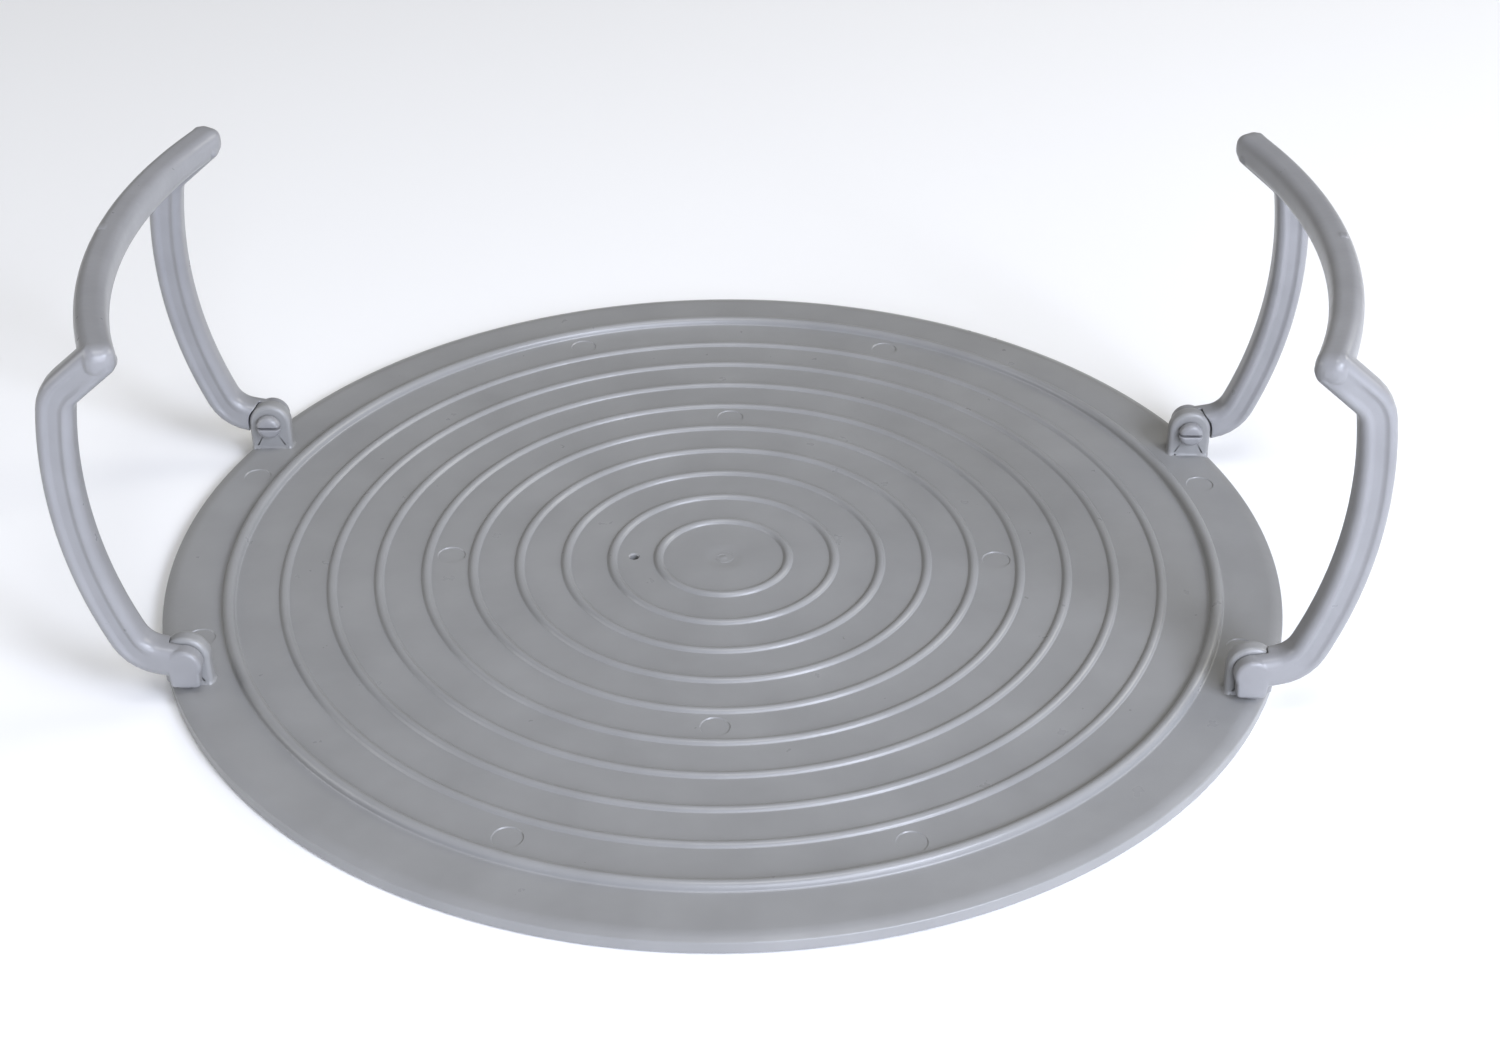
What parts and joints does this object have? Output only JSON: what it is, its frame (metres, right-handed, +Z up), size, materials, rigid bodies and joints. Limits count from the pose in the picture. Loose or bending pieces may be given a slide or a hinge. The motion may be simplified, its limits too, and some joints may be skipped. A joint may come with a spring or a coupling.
{
  "type": "folding tray with two swing bails",
  "caption": "Round ribbed plastic tray with a pair of fold-down bail handles that also serve as its legs when it is turned over.",
  "frame": {"origin": "middle of the ring under the tray's edge, on the surface that the tray rests on", "axes": "+Z up out of the ribbed face, +X from the left bail to the right bail, +Y away from the viewer, along the hinge axes"},
  "size_m": [0.2652, 0.248, 0.0853],
  "materials": {
    "tray_plastic": "satin, moulded",
    "bail_plastic": "satin, moulded"
  },
  "bodies": {
    "tray": {"tray": "tray_plastic"},
    "left_bail": {"left_bail": "bail_plastic"},
    "right_bail": {"right_bail": "bail_plastic"}
  },
  "joints": [
    {"name": "left_bail_hinge", "type": "hinge", "parent": "tray", "child": "left_bail", "pos_m": [-0.1102, 0, 0.0101], "axis": [0, 1, 0], "range_deg": [0, 97]},
    {"name": "right_bail_hinge", "type": "hinge", "parent": "tray", "child": "right_bail", "pos_m": [0.1102, 0, 0.0101], "axis": [0, -1, 0], "range_deg": [0, 97]}
  ]
}
